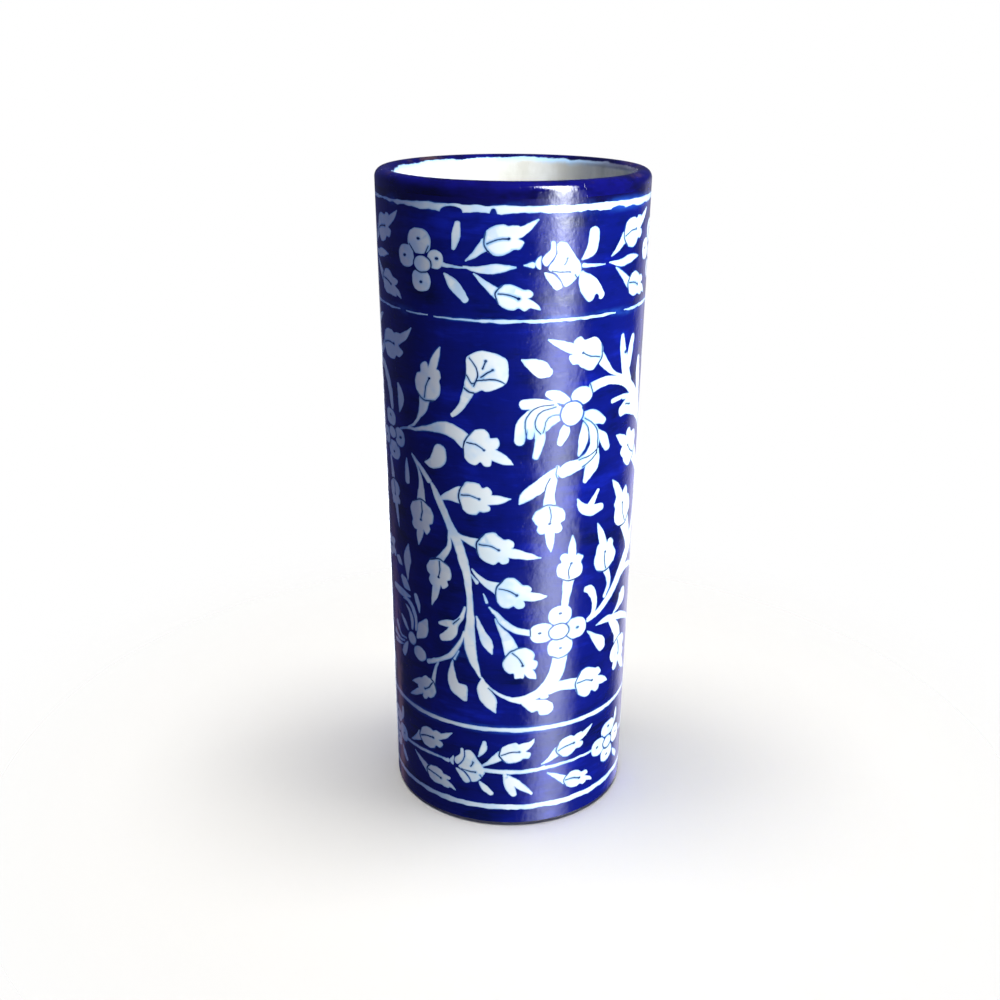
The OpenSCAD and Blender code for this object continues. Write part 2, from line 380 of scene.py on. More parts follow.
def main_vine(pen):
    """Stem that swings down from the high flower and up to the low one."""
    pen.stroke((-41.5, 153.8, 0.6), (-37, 150, 1.8), (-32.5, 145.2, 2.4), tint=0.2)
    pen.stroke((-31.5, 144.6, 1.4), (-28, 138.6, 3.2), (-24.6, 131.6, 3), (-21, 124.6, 4), (-18.4, 117, 4),
        (-16.4, 109, 3.2), (-15.5, 100, 2.6), (-15.3, 92, 3.3), (-15.7, 84, 4.8), (-15, 77, 4.4),
        (-13.2, 71.6, 2.6), (-11.4, 67.4, 0.8))
    pen.bud((-19.6, 142.2, 7), (-7, 140.8), 13, (0.2, 142), (-28, 139, 1), (-24, 141, 3.6))
    pen.bud((-12.6, 123.6, 4.4), (0.6, 120.4), 12.6, (12, 118), (-22, 128, 0.8), (-18.6, 125.4, 1.8))
    pen.bud((-5, 106, 5.2), (7, 101.6), 13, (14.8, 102), (-14.5, 113, 0.7), (-12, 110, 1.8),
        (-8.5, 107.4, 3.2))
    pen.stroke((-15.2, 111, 0.6), (-12.6, 107.6, 1.5), tint=0.4)
    pen.stroke((-10.2, 103.4, 0.5), (-8.8, 99.8, 1.2), tint=0.7)
    pen.bud((0.6, 79.4, 6), (8, 69.6), 13.6, (10.8, 67), (-5.5, 93, 0.6), (-3.3, 88.5, 2.2),
        (-0.6, 84, 4.6))
    pen.stroke((-8, 98, 0.5), (-5, 95, 2), (-2, 91.6, 2.8), (2.4, 88.4, 2.8), (8, 87.2, 2.6), tint=0.1)
    pen.stroke((-12.8, 93.4, 0.7), (-11, 87.6, 2.8), (-8.5, 82.6, 4.4), (-6.6, 77.8, 0.5))
    pen.bud((-28.6, 114.4, 3.4), (-29.4, 102.6), 11.6, (-32.6, 94.2), (-23.8, 127, 0.7), (-24, 120.6, 2))
    pen.stroke((-17.4, 96.6, 1), (-19, 92, 1.9), (-21.6, 88.6, 3), (-24, 84, 4.6), (-28, 81.4, 2.8))
    pen.stroke((-21.6, 88.8, 2.6), (-25, 88.2, 3.2), (-29, 87.4, 1.4))
    pen.line([(-20, 91.4), (-22.6, 88.6)], 0.45)
    pen.stroke((-18, 86, 1), (-20, 80.6, 1.7), (-24, 75, 2.2), (-29, 71.6, 1.8), (-35.4, 68.6, 2.2))
    pen.stroke((-20.4, 77.4, 0.5), (-22.4, 73.6, 1), tint=0.5)
    pen.bud((-32.8, 60.2, 2.2), (-40.6, 52.8), 9.4, (-48, 49.2), (-29.6, 71, 0.6), (-31.4, 67, 1.5),
        (-32.6, 63, 1.9))
    pen.stroke((-46.3, 55.8, 0.3), (-41, 57.6, 3.2), (-35, 60, 2.6))
    pen.blob((-23, 73), (-22.2, 68), (-20.6, 63.4), (-17, 62.6), (-17.2, 56), (-20.6, 56.8), (-24.6, 60),
        (-25.6, 66), (-24, 71))
    pen.stroke((-10.8, 67, 0.6), (-10.2, 62, 5.4), (-7.6, 57, 6), (-5.2, 52.2, 0.4))
    pen.line([(-8.2, 63), (-5.4, 60.2)], 0.4)
    pen.stroke((-11, 67.4, 0.7), (-8.2, 63.8, 0.9), (-4, 60.6, 1.3), (0.5, 58.6, 2), (5, 58, 3.2),
        (11, 60, 4), (16, 63.4, 5.6), (19.4, 69, 6.4), (21, 76, 6.4))
    pen.blob((4.4, 58), (6.4, 54.6), (9.4, 52.2), (11.6, 52.6), (12.6, 50.8), (16, 50.4), (18.4, 52.6),
        (17.6, 55.6), (14.6, 57.2), (9, 58))
    pen.oval((14.4, 58.6), 2, 1, "white", 1)
    pen.bud((28.4, 61.6, 5), (42, 59.6), 12.8, (47.3, 56.4), (14, 60.4, 3.4), (21, 62.4, 4.2))


def low_flower(pen):
    """Flower low on the right and what grows from it."""
    pen.bud((23.4, 107, 5.2), (24.9, 118), 12, (24.6, 125.7), (21.8, 96, 3), (22.6, 101, 3.6))
    rosette(pen.at(20, 86.2), [
        (-7.7, 0.4, 4.3, 3.8), (0.3, 7.4, 4.6, 3.7), (8, 0.1, 4.5, 4.1), (0.7, -7.1, 5, 3.7)], (4.1, 3.1))
    pen.line([(16.4, 76.4), (20.5, 74.8), (25, 75.8)])
    pen.line([(8.1, 89), (8.3, 85.6)])
    pen.stroke((33, 88.6, 1), (36, 90.4, 2), (36.4, 96, 3), (34.2, 100.6, 3.8), (31.6, 101.6, 2.6))
    pen.bud((42.6, 106.6, 3.6), (41, 119), 13.2, (36.4, 127.8), (42.4, 95.6, 2), (44.9, 101, 2.6))
    pen.stroke((33, 87.8, 1.4), (39, 90.2, 2.6), (45, 94, 3.4), (50, 98.2, 4.4), (55, 103.4, 5.4),
        (60, 107.8, 6), (66, 112, 6))
    pen.stroke((48, 97, 2), (55, 101, 2.8), (62, 102, 2.8), (74, 98, 1.5))
    pen.bud((56, 122.4, 8), (50.8, 136.6), 14.4, (43.9, 143.4), (62, 108, 5), (60.2, 115, 6))
    pen.bud((62, 149.4, 7), (51.2, 157), 14.6, (45.2, 160.8), (71.2, 136, 1.6), (68.6, 142, 3.6))
    pen.stroke((33.2, 83.3, 0.5), (37, 79.8, 2.8), (40.8, 76, 5.6), (42.2, 73.6, 4.6))
    pen.stroke((38.3, 84.3, 0.6), (44, 84.8, 2.6), (50, 83.6, 3), (57, 81.8, 3.2), (66, 77.6, 2.6),
        (76, 72, 1))
    pen.stroke((49, 85, 0.5), (54, 87.4, 3.2), (57.4, 90.2, 7.6), (58.2, 92, 5))
    pen.bud((54.6, 72.4, 6.2), (58.4, 60), 15.4, (66.6, 53.8), (46.5, 83.6, 1.4), (50.8, 79.8, 4.6),
        (53.8, 76, 5.6))
    pen.stroke((26, 139.8, 0.5), (28.6, 135.8, 3.8), (33, 134, 4.6), (38, 134.2, 3), tint=0.8)
    pen.stroke((31.5, 135.2, 3.2), (34, 138.5, 2.4), (36, 141.4, 1.3), tint=0.8)


def right_hub(pen):
    """Stems and leaves that leave the rising vine on the right."""
    pen.bud((34.8, 192.6, 4.4), (21.6, 197), 12.4, (12.8, 201.2), (49, 183, 0.8), (42, 185.4, 1.4),
        (38, 188.4, 3))
    pen.stroke((3.2, 194.2, 0.5), (7, 192.6, 4.4), (11, 190.4, 6.2), (13.2, 189.4, 3.6))
    pen.stroke((31, 181.9, 3.9), (36, 183.2, 3.7), (42, 182.8, 3.2), (48.5, 181, 3.8), (54.5, 177.4, 4.6),
        (61, 172, 5), (67, 165.4, 5), (71, 157, 4))
    pen.line([(29.8, 184), (30.6, 181.6), (31.4, 179.6)])
    pen.stroke((46, 198.6, 1.8), (46.9, 193.5, 3.6), (48.8, 187, 4.8), (51.8, 180, 5.5))
    pen.stroke((54.2, 197, 2.6), (53, 193, 4), (51, 186.6, 4.4))
    pen.line([(49.8, 194.6), (48.7, 192)], 0.6, 0.9)
    pen.stroke((68, 166, 1.6), (64.4, 174, 4), (62.4, 181, 5.2), (62.2, 187, 3))
    pen.stroke((69, 160, 3), (64, 164.6, 4), (58, 168.6, 5.8), (52.6, 170.6, 6.6), (47.8, 169.6, 4.4))
    pen.stroke((56, 173.6, 2.6), (48, 175, 2), (41.4, 174.8, 1.6))
    pen.oval((47.4, 173.6), 1, 0.9, "ground")
    pen.line([(50.6, 171.8), (55, 170.8)], 0.45)
    pen.stroke((64, 110, 5), (69, 124, 4.4), (71, 142, 4), (73, 160, 4.2), (78, 174, 4), (85, 183, 3.6),
        (92, 184, 3.2), (98, 178.6, 3), (101.8, 168.8, 2.4))


def back_filler(pen):
    """Leaves in the gap that lies between the two repeats of the field."""
    pen.bud((76.4, 196, 3.4), (88, 199), 9.6, (95, 203.6), (70, 184, 1.2), (72.6, 191, 2.2))
    pen.stroke((76, 150, 0.6), (81, 152.6, 5.4), (84.6, 157.4, 3))
    pen.bud((81, 128, 4.6), (84.6, 139.6), 11.6, (86.6, 147), (70.4, 112, 0.8), (74.6, 117.6, 1.8),
        (78.6, 122, 3))
    pen.stroke((74, 136, 0.6), (77.4, 141, 3.8), (77.2, 145.6, 2.2))
    pen.bud((80, 104, 4.2), (84.4, 92.6), 11, (88, 86), (66, 106, 0.8), (72.6, 108.6, 1.8),
        (77.6, 107.4, 2.6))
    pen.bud((77, 65, 3.6), (86.6, 61), 9.6, (93, 56), (68, 76, 0.8), (72, 70, 1.8))
    pen.stroke((74, 86, 0.6), (77, 82, 4), (77.6, 77.6, 2))


def white_line(v, widths, unevenness, tint):
    """Line of white round the vase, uneven because the cobalt was brushed up to it from both sides."""
    u = np.arange(-GIRTH / 2 - 4, GIRTH / 2 + 4, 1.3)

    def uneven(seed, scale):
        a = u / DRAWING_R
        return np.array([noise.noise(Vector((math.cos(t) * scale, math.sin(t) * scale, seed))) for t in a])
    half = np.interp(u, *zip(*widths)) / 2
    above = v + half + (uneven(v, 9.0) * 0.5 + uneven(v + 3, 26.0) * 0.4) * unevenness
    below = v - half + (uneven(v + 7, 7.0) + uneven(v + 9, 20.0) * 0.8) * unevenness
    above = np.maximum(above, below + 0.4)
    outline = np.concatenate([np.stack([u, above], -1), np.stack([u, below], -1)[::-1]])
    Pen.shapes.append(("white", tint, outline))


def lap_over(line, offset, *laps):
    """Cobalt of a band that was brushed over its white line here and there: each lap is (u, ru, rv)."""
    for u, ru, rv in laps:
        Pen().oval((u, line + offset), ru, rv, "ground", square=0.85)


def draw_lines():
    white_line(LINE_UNDER_RIM, [
        (-160, 2.4), (-90, 2), (-60, 1.1), (-40, 1.4), (-32, 2.6), (60, 2.2), (160, 2.4)], 0.7, 0.25)
    white_line(LINE_ABOVE_FIELD, [
        (-160, 1.1), (-62, 0.9), (-48, 0.5), (-20, 0.6), (-8, 1.1), (30, 1.3), (37, 1.1), (40.5, 0.3),
        (46.5, 0.3), (50, 1.1), (160, 1.1)], 0.45, 0.7)
    lap_over(LINE_UNDER_RIM, -2.2,
             (-141, 3, 1.9), (-112, 5, 2.3), (-73, 4, 2), (-50, 6, 1.5), (-21, 4.4, 2.7), (-6.4, 1.3, 2.6),
             (40, 4, 1.8), (82, 5, 2.4), (104, 2, 2.1), (133, 4, 2.3))
    lap_over(LINE_ABOVE_FIELD, 0,
             (-128, 3, 1), (-85, 2, 1), (-44, 1.8, 1), (-30, 1.2, 1), (43.5, 2.6, 1.2), (96, 3, 1),
             (140, 2, 1))
    white_line(LINE_BELOW_FIELD, [(-160, 1.9), (160, 1.9)], 0.3, 0.1)
    white_line(LINE_ABOVE_FOOT, [(-160, 2.4), (-60, 1.8), (0, 2.4), (160, 2.4)], 0.6, 0.3)


def draw_borders():
    upper_border((-33.5, "rosette", -5), (16, "lotus", 0), (71, "rosette", -1.6),
                 (123.5, "lotus", 0), (176, "rosette", -3), (228.5, "lotus", -1))
    lower_border((-17.5, "lotus", 1), (50.5, "rosette", -4.6), (100, "lotus", 0),
                 (150, "rosette", -2), (200, "lotus", 0), (250, "rosette", -2))
    extra = Pen(19, LOWER_STEM)
    extra.bud((-22.8, 6.6, 4.4), (-9.8, 9.4), 9.2, (-8.4, 14), (-29.5, 1.2, 0.8), (-26, 3.6, 2.6))
    extra.stroke((-30, -0.6, 1.8), (-18, -1, 2), (-8, -0.6, 1.8), (-4, 0.2, 1.5), tint=0.15)
    extra.stroke((-20.6, -2, 1.6), (-18.4, -7.6, 4), (-16.6, -11.4, 2.6))
    extra.stroke((-19, -2.6, 0.8), (-14.6, -7, 3.4), (-9, -11.4, 1.2))


def draw_all():
    draw_lines()
    draw_borders()
    for repeat in range(2):
        for draw in (high_flower, trumpet, chrysanthemum_left, main_vine, chrysanthemum_right,
                     low_flower, right_hub, back_filler):
            draw(Pen(repeat * GIRTH / 2))


# ---- from drawing to solids

def inside(points, outline):
    """Which points lie inside a closed outline, by its winding number."""
    a, b = outline, np.roll(outline, -1, axis=0)
    turns = np.zeros(len(points), int)
    for (ax, ay), (bx, by) in zip(a, b):
        side = (bx - ax) * (points[:, 1] - ay) - (points[:, 0] - ax) * (by - ay)
        turns += (ay <= points[:, 1]) & (by > points[:, 1]) & (side > 0)
        turns -= (ay > points[:, 1]) & (by <= points[:, 1]) & (side < 0)
    return turns != 0


def classify(points):
    """Kind and tint of the paint at each point of the drawing."""
    kind = np.zeros(len(points), int)  # 0 ground, 1 white, 2 contour line
    tint = np.zeros(len(points))
    order = np.argsort(points[:, 0])
    xs = points[order, 0]
    for name, shade, outline in Pen.shapes:
        low, high = outline.min(0), outline.max(0)
        near = order[np.searchsorted(xs, low[0]):np.searchsorted(xs, high[0])]
        near = near[(points[near, 1] > low[1]) & (points[near, 1] < high[1])]
        hit = near[inside(points[near], outline)] if len(near) else near
        if name == "white":
            kind[hit], tint[hit] = 1, shade
        elif name == "ground":
            kind[hit] = 0
        else:
            kind[hit[kind[hit] == 1]] = 2
    return kind, tint


def outline_edges(rows, columns):
    """Points of the sheet's border and of every outline, and the edges between them."""
    points, edges = [], []

    def add_path(path, closed):
        start = len(points)
        points.extend(path)
        edges.extend((start + i, start + i + 1) for i in range(len(path) - 1))
        if closed:
            edges.append((len(points) - 1, start))

    for v in (SHEET_LOW, SHEET_HIGH):
        add_path([(u, v) for u in columns], False)
    for u in (-GIRTH / 2, GIRTH / 2):
        add_path([(u, v) for v in rows], False)
    for _, _, outline in Pen.shapes:
        add_path([tuple(p) for p in outline], True)
    return points, edges


def loose_points(points, rows, columns):
    """Points beside every outline and on the plain areas, none of them close to an outline."""
    outlines = kdtree.KDTree(len(points))
    for i, (u, v) in enumerate(points):
        outlines.insert((u, v, 0), i)
    outlines.balance()
    loose, taken = [], set()
    cell_size = RING * 0.7

    def add_loose(u, v, clear):
        cell = (round(u / cell_size), round(v / cell_size))
        if cell in taken or not (abs(u) < GIRTH / 2 and SHEET_LOW < v < SHEET_HIGH):
            return
        if outlines.find((u, v, 0))[2] > clear:
            taken.add(cell)
            loose.append((u, v))

    for _, _, outline in Pen.shapes:
        along = np.roll(outline, -1, axis=0) - np.roll(outline, 1, axis=0)
        along /= np.maximum(np.linalg.norm(along, axis=1, keepdims=True), 1e-6)
        across = np.stack([-along[:, 1], along[:, 0]], -1) * RING
        for p in np.concatenate([outline + across, outline - across]):
            add_loose(*p, RING * 0.75)
    for j, v in enumerate(rows[1:-1]):
        for u in columns[:-1] + GRID * (0.25 if j % 2 else 0.75):
            add_loose(u, v, GRID * 0.4)
    return loose


def triangulate():
    """Cuts the whole drawing into triangles along every outline."""
    half = GIRTH / 2
    rows = np.linspace(SHEET_LOW, SHEET_HIGH, round((SHEET_HIGH - SHEET_LOW) / GRID) + 1)
    columns = np.linspace(-half, half, round(GIRTH / GRID) + 1)
    points, edges = outline_edges(rows, columns)
    points += loose_points(points, rows, columns)
    found = geometry.delaunay_2d_cdt([Vector(p) for p in points], edges, [], 0, 1e-5, False)
    flat = np.array([tuple(p) for p in found[0]])
    faces = np.array([f for f in found[2] if len(f) == 3])
    corner = flat[faces]
    middle = corner.mean(1)
    keep = (abs(middle[:, 0]) < half) & (middle[:, 1] > SHEET_LOW) & (middle[:, 1] < SHEET_HIGH)
    area = np.cross(corner[:, 1] - corner[:, 0], corner[:, 2] - corner[:, 0])
    faces[area < 0] = faces[area < 0][:, ::-1]
    return flat, faces[keep & (abs(area) > 1e-9)]


def weld_seam(flat, faces):
    """Joins the two ends of the drawing where they meet at the back of the vase."""
    half = GIRTH / 2
    left = {}
    for i in np.flatnonzero(abs(flat[:, 0] + half) < 1e-3):
        left[round(flat[i, 1], 2)] = i
    same = np.arange(len(flat))
    for i in np.flatnonzero(abs(flat[:, 0] - half) < 1e-3):
        same[i] = left.get(round(flat[i, 1], 2), i)
    return same[faces]


def edge_distance(flat, faces, kind):
    """Distance from every point to the nearest change of paint."""
    owner = {}
    border = set()
    for f, k in zip(faces, kind):
        for a, b in ((f[0], f[1]), (f[1], f[2]), (f[2], f[0])):
            key = (min(a, b), max(a, b))
            if owner.setdefault(key, k) != k:
                border.add(key)
    marks = [flat[a] * (1 - t) + flat[b] * t for a, b in border for t in (0, 0.5, 1)]
    tree = kdtree.KDTree(len(marks))
    for i, p in enumerate(marks):
        tree.insert((*p, 0), i)
    tree.balance()
    return np.array([tree.find((*p, 0))[2] for p in flat])


def add_piece(name, mesh, material, slot, *nodes):
    """Makes a piece of the mesh, in place of the CAD nodes named."""
    mesh.polygons.foreach_set("use_smooth", [True] * len(mesh.polygons))
    mesh.set_sharp_from_angle(angle=math.radians(40))
    mesh.materials.append(material)
    piece = bpy.data.objects.new(name, mesh)
    bpy.context.collection.objects.link(piece)
    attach(piece, "root")
    if nodes:
        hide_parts(*nodes)


def inlay(name, flat, faces, distance, tint, material, slot, *nodes):
    """Closed, thin solid of the given triangles of the drawing, bent round the vase."""
    used, local = np.unique(faces, return_inverse=True)
    tris = local.reshape(-1, 3)
    n = len(used)
    u, v = flat[used].T
    points = np.concatenate([on_vase(u, v), on_vase(u, v, INLAY)])
    directed = {(a, b) for t in tris for a, b in ((t[0], t[1]), (t[1], t[2]), (t[2], t[0]))}
    sides = [(b, a, a + n, b + n) for a, b in directed if (b, a) not in directed]
    mesh = bpy.data.meshes.new(name)
    mesh.from_pydata(points.tolist(), [], [*tris.tolist(), *(tris[:, ::-1] + n).tolist(), *sides])
    for key, values in (("edge", distance[used]), ("tint", tint[used])):
        layer = mesh.attributes.new(key, "FLOAT", "POINT")
        layer.data.foreach_set("value", np.concatenate([values, values]).astype(np.float32))
    mesh.validate()
    add_piece(name, mesh, material, slot, *nodes)


def revolved(name, profile, material, slot, *nodes):
    """Solid of revolution of a closed profile of (radius, height) in millimetres."""
    p = np.array(profile) * MM
    count = len(p)
    rings = []
    for s in range(SIDES):
        a = 2 * math.pi * s / SIDES
        rings.append(np.stack([p[:, 0] * math.sin(a), -p[:, 0] * math.cos(a), p[:, 1]], -1))
    faces = []
    for s in range(SIDES):
        t = (s + 1) % SIDES
        for i in range(count):
            j = (i + 1) % count
            faces.append((s * count + i, t * count + i, t * count + j, s * count + j))
    mesh = bpy.data.meshes.new(name)
    mesh.from_pydata(np.concatenate(rings).tolist(), [], faces)
    add_piece(name, mesh, material, slot, *nodes)


# ---- materials

GLAZE_IOR = 1.5


class Shader:
    """Short way to build a node tree: add() makes a node, sets its inputs and returns it."""

    def __init__(self, name):
        self.material = bpy.data.materials.new(name)
        self.material.use_nodes = True
        self.tree = self.material.node_tree
        self.bsdf = self.tree.nodes["Principled BSDF"]

    def link(self, value, socket):
        if isinstance(value, bpy.types.NodeSocket):
            self.tree.links.new(value, socket)
        else:
            socket.default_value = value

    def add(self, kind, inputs=(), **settings):
        node = self.tree.nodes.new("ShaderNode" + kind)
        for key, value in settings.items():
            setattr(node, key, value)
        for key, value in dict(inputs).items():
            self.link(value, node.inputs[key])
        return node

    def place(self):
        return self.add("TexCoord").outputs["Object"]

    def axes(self):
        """The place's X, Y and Z."""
        return self.add("SeparateXYZ", {"Vector": self.place()}).outputs

    def length(self, vector):
        return self.add("VectorMath", {0: vector}, operation="LENGTH").outputs["Value"]

    def radius(self):
        """Distance from the vase's axis."""
        flat = self.add("VectorMath", {0: self.place(), 1: (1, 1, 0)}, operation="MULTIPLY")
        return self.length(flat.outputs["Vector"])

    def noise(self, scale, detail=3.0, stretch=(1, 1, 1), roughness=0.5, shift=0.0):
        """Noise over the place, stretched; shift makes one noise differ from another."""
        location = (shift, shift * 0.7, shift * 1.3)
        mapped = self.add("Mapping", {
            "Vector": self.place(), "Scale": stretch, "Location": location})
        return self.add("TexNoise", {
            "Vector": mapped.outputs[0], "Scale": scale, "Detail": detail,
            "Roughness": roughness}).outputs["Fac"]

    def ramp(self, value, low, high, out_low=0.0, out_high=1.0):
        """Smooth step from out_low to out_high while the value goes from low to high."""
        return self.add("MapRange", {
            "Value": value, "From Min": low, "From Max": high, "To Min": out_low, "To Max": out_high},
            clamp=True, interpolation_type="SMOOTHSTEP").outputs[0]

    def math(self, operation, a, b=0.0):
        return self.add("Math", {0: a, 1: b}, operation=operation).outputs[0]

    def plus(self, a, b):
        return self.math("ADD", a, b)

    def times(self, a, b):
        return self.math("MULTIPLY", a, b)

    def mix(self, factor, a, b):
        node = self.add("Mix", data_type="RGBA")
        for value, socket in ((factor, node.inputs[0]), (a, node.inputs[6]), (b, node.inputs[7])):
            self.link(value, socket)
        return node.outputs[2]

    def attribute(self, name):
        return self.add("Attribute", attribute_name=name).outputs["Fac"]

    def bump(self, *layers):
        """Stacks (height, distance in millimetres) layers into one normal."""
        normal = None
        for height, distance in layers:
            node = self.add("Bump", {"Height": height, "Distance": distance * MM})
            if normal is not None:
                self.link(normal, node.inputs["Normal"])
            normal = node.outputs[0]
        self.link(normal, self.bsdf.inputs["Normal"])

    def finish(self, colour, roughness):
        self.link(colour, self.bsdf.inputs["Base Color"])
        self.link(roughness, self.bsdf.inputs["Roughness"])
        self.bsdf.inputs["IOR"].default_value = GLAZE_IOR
        return self.material

    def surface(self, node):
        """Shows this node instead of the Principled one."""
        self.link(node.outputs[0], self.tree.nodes["Material Output"].inputs["Surface"])


def glaze_bump(s):
    """Low swells of hand work, the glaze's fine orange peel and a few pinholes."""
    pits = s.ramp(s.noise(900, 1, shift=2), 0.24, 0.32)
    s.bump((s.noise(22, 2, shift=1), 0.8), (s.noise(110, shift=15), 0.17),
           (s.noise(320, 2), 0.09), (s.noise(750, 1, (1, 1, 0.5)), 0.025), (pits, 0.02))


def cobalt_glaze(name, deep, mid, bright, streak=1.0):
    """Brushed cobalt: round-the-vase streaks, cloudy patches and a pale bleed beside the whites."""
    s = Shader(name)
    clouds = s.noise(28, 4, (1, 1, 1.4), 0.6)
    brush = s.noise(30, 5, (1, 1, 7), 0.65, 4)
    fine = s.noise(140, 3, (1, 1, 4), 0.6, 7)
    tone = s.plus(s.times(clouds, 0.6), s.times(brush, 0.4 * streak))
    colour = s.mix(s.ramp(tone, 0.34, 0.52), deep, mid)
    colour = s.mix(s.ramp(tone, 0.52, 0.7), colour, bright)
    colour = s.mix(s.ramp(fine, 0.55, 0.75, 0, 0.25), colour, bright)
    bleed = s.plus(s.attribute("edge"), s.times(s.noise(60, shift=3), 1.6))
    colour = s.mix(s.ramp(bleed, 0.55, 1.15, 0.8, 0), colour, (0.02, 0.10, 0.42, 1))
    colour = s.mix(halo(s), colour, (0.015, 0.07, 0.40, 1))
    glaze_bump(s)
    return s.finish(colour, s.ramp(s.noise(60, shift=5), 0.3, 0.7, 0.1, 0.2))


def halo(s):
    """Thin, patchy cobalt beside the white lines that run round the vase."""
    height = s.axes()["Z"]
    near = 0.0
    for line, reach in ((LINE_UNDER_RIM, 3.4), (LINE_ABOVE_FIELD, 2.6), (LINE_BELOW_FIELD, 2.6)):
        away = s.math("ABSOLUTE", s.math("SUBTRACT", height, line * MM))
        near = s.math("MAXIMUM", near, s.ramp(away, 0.6 * MM, reach * MM, 1, 0))
    patches = s.ramp(s.noise(42, 4, (1, 1, 2), 0.6, 14), 0.42, 0.66, 0, 0.85)
    return s.times(near, patches)


def white_glaze(name):
    """White slip under clear glaze, with a watery blue edge where the cobalt ran in."""
    s = Shader(name)
    patches = s.noise(35, shift=6)
    white = s.mix(s.ramp(patches, 0.4, 0.65), (0.86, 0.88, 0.86, 1), (0.76, 0.83, 0.84, 1))
    watery = s.plus(s.attribute("edge"), s.times(s.noise(110, shift=8), 1.2))
    white = s.mix(s.ramp(watery, 0.45, 1.35, 0.95, 0), white, (0.30, 0.52, 0.78, 1))
    run = s.times(s.ramp(s.noise(70, shift=9), 0.53, 0.7), 0.9)
    tint = s.math("MAXIMUM", s.attribute("tint"), run)
    white = s.mix(s.times(tint, 0.7), white, (0.50, 0.70, 0.92, 1))
    glaze_bump(s)
    return s.finish(white, s.ramp(s.noise(60, shift=5), 0.3, 0.7, 0.1, 0.2))


def line_glaze(name):
    """Thin cobalt drawn over the white, lighter where the brush ran dry."""
    s = Shader(name)
    dry = s.noise(120, shift=11)
    colour = s.mix(s.ramp(dry, 0.35, 0.7), (0.008, 0.022, 0.11, 1), (0.045, 0.11, 0.26, 1))
    glaze_bump(s)
    return s.finish(colour, s.ramp(dry, 0.3, 0.7, 0.08, 0.16))


def mouth_glaze(name):
    """Glaze over the lip and inside the mouth: cream, with cobalt that ran down from the lip; painted shade
    darkens it deeper down, and on its right side with grime-like mottling.
    """
    s = Shader(name)
    axes = s.axes()
    x, height = axes["X"], axes["Z"]
    stain = s.noise(30, 5, (1, 1, 0.5), 0.6, 12)
    cream = s.mix(s.ramp(stain, 0.42, 0.66), (0.72, 0.71, 0.68, 1), (0.58, 0.55, 0.48, 1))
    # Painted shade: the right (+X) side of the inside is darkened to blue-grey, mottled by the stain noise
    # like grime.
    painted_shade_and_grime = s.times(s.ramp(x, 0.008, 0.046), s.ramp(stain, 0.3, 0.6, 0.65, 1))
    cream = s.mix(painted_shade_and_grime, cream, (0.075, 0.105, 0.155, 1))
    # Painted shade: the inside turns darker and browner deeper down the mouth.
    low = s.ramp(height, (TOP - 90) * MM, (TOP - 18) * MM)
    cream = s.mix(low, (0.46, 0.42, 0.34, 1), cream)
    reach = lip_reach(s, x, height)
    fringe = s.mix(s.ramp(x, 0.014, 0.044), (0.42, 0.64, 0.88, 1), (0.17, 0.17, 0.24, 1))
    cream = s.mix(s.ramp(reach, -2.4 * MM, 0.2 * MM), cream, fringe)
    colour = s.mix(s.ramp(reach, 0, 0.8 * MM), cream, lip_cobalt(s, x, height))
    glaze_bump(s)
    return s.finish(colour, s.ramp(stain, 0.3, 0.7, 0.05, 0.14))


def lip_reach(s, x, height):
    """How far a point lies outside the uneven edge where the cobalt stops inside the lip."""
    rise = s.math("SUBTRACT", height, (TOP - LIP_ROLL) * MM)
    out = s.math("SUBTRACT", s.radius(), LIP_CREST * MM)
    over = s.plus(s.times(rise, 0.8), s.times(out, 0.6))
    over = s.math("MAXIMUM", over, out)
    run = s.noise(75, 4, (1, 1, 0.35), 0.65, 13)
    over = s.plus(over, s.times(s.math("SUBTRACT", run, 0.5), 4.4 * MM))
    return s.plus(over, s.times(s.math("MINIMUM", x, 0.0), -0.022))


def lip_cobalt(s, x, height):
    """Thick cobalt, almost black where it pooled, worn to the brown paste in patches of the crest."""
    pool = s.noise(34, 4, (1, 1, 2.5), 0.6, 4)
    cobalt = s.mix(s.ramp(pool, 0.38, 0.66), (0.002, 0.002, 0.035, 1), (0.004, 0.004, 0.14, 1))
    worn = s.plus(s.noise(48, 4, (1, 1, 1), 0.6, 17), s.ramp(x, 0.03, 0.05, 0, 0.09))
    crest = s.ramp(height, (TOP - 1.6) * MM, (TOP - 0.2) * MM)
    return s.mix(s.times(s.ramp(worn, 0.54, 0.68, 0, 0.7), crest), cobalt, (0.085, 0.045, 0.040, 1))


def paste(name, light, dark):
    """Bare fired paste: matte, with sandy grains, stained by cobalt at the foot's outer edge."""
    s = Shader(name)
    cloud = s.noise(40, 4)
    grain = s.noise(900, 2, shift=2)
    colour = s.mix(s.ramp(cloud, 0.35, 0.65), light, dark)
    colour = s.mix(s.ramp(grain, 0.55, 0.75, 0, 0.5), colour, (0.30, 0.24, 0.18, 1))
    edge = s.plus(s.radius(), s.times(s.noise(90, 3), 1.2 * MM))
    clean, stained = 46.2, 47.4  # radii of the foot
    colour = s.mix(s.ramp(edge, clean * MM, stained * MM), colour, (0.008, 0.010, 0.06, 1))
    s.bump((grain, 0.12), (cloud, 0.2))
    return s.finish(colour, s.ramp(grain, 0.3, 0.7, 0.7, 0.95))


